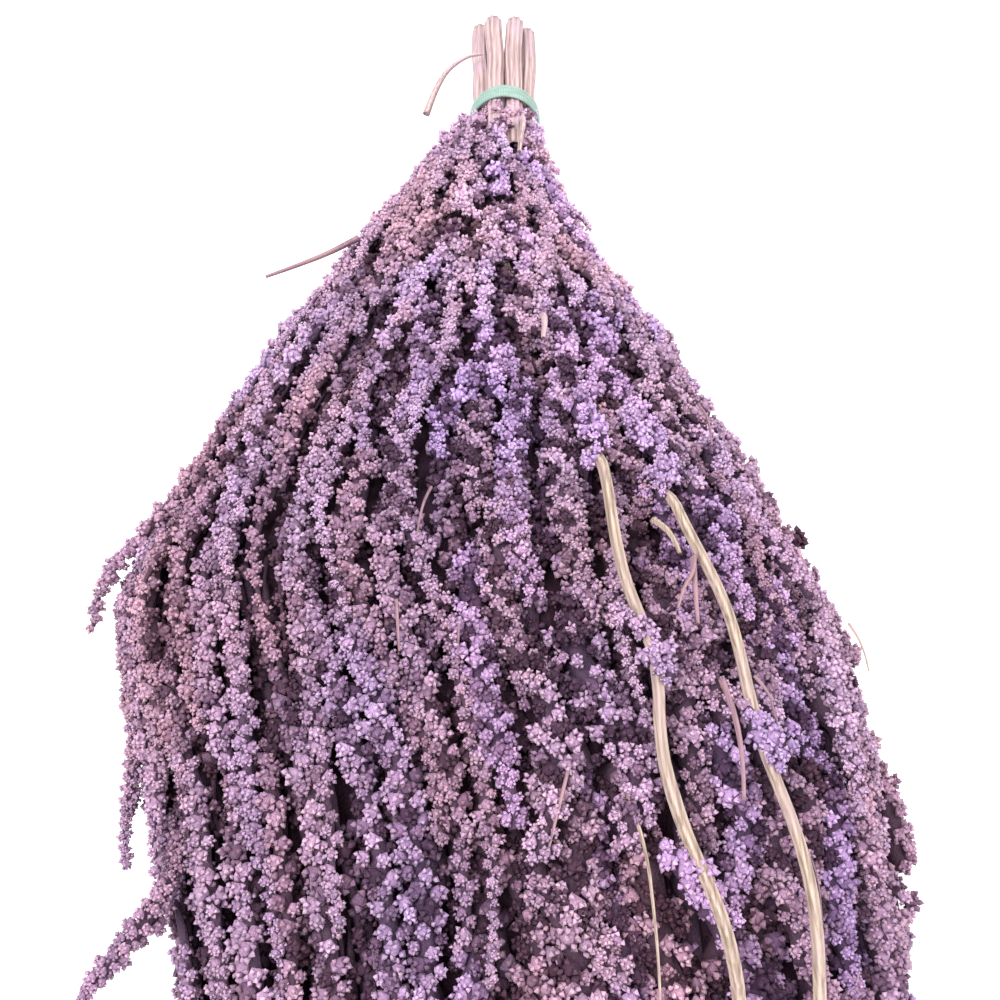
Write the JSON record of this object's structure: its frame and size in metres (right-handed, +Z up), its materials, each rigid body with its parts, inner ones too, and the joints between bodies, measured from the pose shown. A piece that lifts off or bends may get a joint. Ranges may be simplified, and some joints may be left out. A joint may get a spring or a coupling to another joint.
{
  "type": "tied bunch of dried amaranth seed heads",
  "caption": "Tied bunch of dried, lilac-dyed hanging amaranth lying on its side, with knobbly tassels, pale stalks and a green band.",
  "frame": {"origin": "centre of the bounding box's underside, on the surface that the bunch lies on", "axes": "+Y along the bunch towards the cut ends of the stalks, +Z up from the surface, +X to the right seen from the tips"},
  "size_m": [0.2722, 0.6913, 0.0937],
  "materials": {
    "flowers": "dry, matt, dyed lilac",
    "stalk": "dry, matt straw",
    "band": "satin green elastic"
  },
  "bodies": {
    "root": {"head_1": "flowers", "head_2": "flowers", "head_3": "flowers", "head_4": "flowers", "head_5": "flowers", "head_6": "flowers", "head_7": "flowers", "head_8": "flowers", "long_head_1": "flowers", "long_head_2": "flowers", "stalk_1": "stalk", "stalk_2": "stalk", "stalk_3": "stalk", "stalk_4": "stalk", "stalk_5": "stalk", "stalk_6": "stalk", "stalk_7": "stalk", "stalk_8": "stalk", "long_stalk_1": "stalk", "long_stalk_2": "stalk", "band": "band"}
  },
  "joints": []
}
